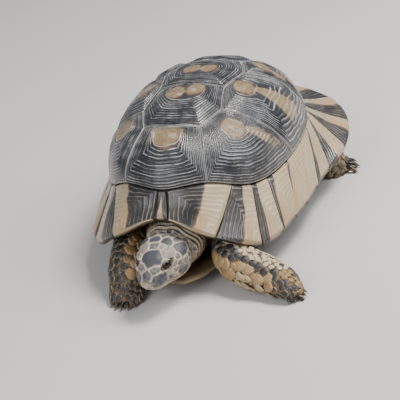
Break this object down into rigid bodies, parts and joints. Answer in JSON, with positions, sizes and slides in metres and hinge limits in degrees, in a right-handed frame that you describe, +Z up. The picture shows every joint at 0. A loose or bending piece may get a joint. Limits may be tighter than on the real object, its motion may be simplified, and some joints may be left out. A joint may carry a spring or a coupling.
{
  "type": "tortoise",
  "caption": "Life-size walking marginated tortoise: domed dark scutes, a flared pale-striped shell rim, scaly limbs and head held out.",
  "frame": {"origin": "the middle of the bounding box in plan, on the floor under the soles", "axes": "the tortoise faces -Y, its left side is +X, and +Z is up"},
  "size_m": [0.1982, 0.2916, 0.1157],
  "materials": {
    "dark_scute": "ridged dark horn with tan shields, satin",
    "pale_scute": "ridged tan horn with black wedges, satin",
    "plastron_scute": "smooth yellow-brown horn with dark triangles, satin",
    "skin": "dry scaly skin, matt",
    "head_skin": "horny head plates with pale borders, satin",
    "eye": "wet, glossy"
  },
  "bodies": {
    "root": {"vertebral_1": "dark_scute", "vertebral_2": "dark_scute", "vertebral_3": "dark_scute", "vertebral_4": "dark_scute", "vertebral_5": "dark_scute", "costal_left_1": "dark_scute", "costal_left_2": "dark_scute", "costal_left_3": "dark_scute", "costal_left_4": "dark_scute", "costal_right_1": "dark_scute", "costal_right_2": "dark_scute", "costal_right_3": "dark_scute", "costal_right_4": "dark_scute", "nuchal": "pale_scute", "supracaudal": "pale_scute", "marginal_left_1": "pale_scute", "marginal_left_2": "pale_scute", "marginal_left_3": "pale_scute", "marginal_left_4": "pale_scute", "marginal_left_5": "pale_scute", "marginal_left_6": "pale_scute", "marginal_left_7": "pale_scute", "marginal_left_8": "pale_scute", "marginal_left_9": "pale_scute", "marginal_left_10": "pale_scute", "marginal_left_11": "pale_scute", "marginal_right_1": "pale_scute", "marginal_right_2": "pale_scute", "marginal_right_3": "pale_scute", "marginal_right_4": "pale_scute", "marginal_right_5": "pale_scute", "marginal_right_6": "pale_scute", "marginal_right_7": "pale_scute", "marginal_right_8": "pale_scute", "marginal_right_9": "pale_scute", "marginal_right_10": "pale_scute", "marginal_right_11": "pale_scute", "gular_left": "plastron_scute", "gular_right": "plastron_scute", "humeral_left": "plastron_scute", "humeral_right": "plastron_scute", "pectoral_left": "plastron_scute", "pectoral_right": "plastron_scute", "abdominal_left": "plastron_scute", "abdominal_right": "plastron_scute", "femoral_left": "plastron_scute", "femoral_right": "plastron_scute", "anal_left": "plastron_scute", "anal_right": "plastron_scute", "trunk": "skin", "neck": "skin", "tail": "skin", "foreleg_left": "skin", "foreleg_right": "skin", "hindleg_left": "skin", "hindleg_right": "skin", "head": "head_skin", "jaw": "head_skin", "eye_left": "eye", "eye_right": "eye"}
  },
  "joints": []
}
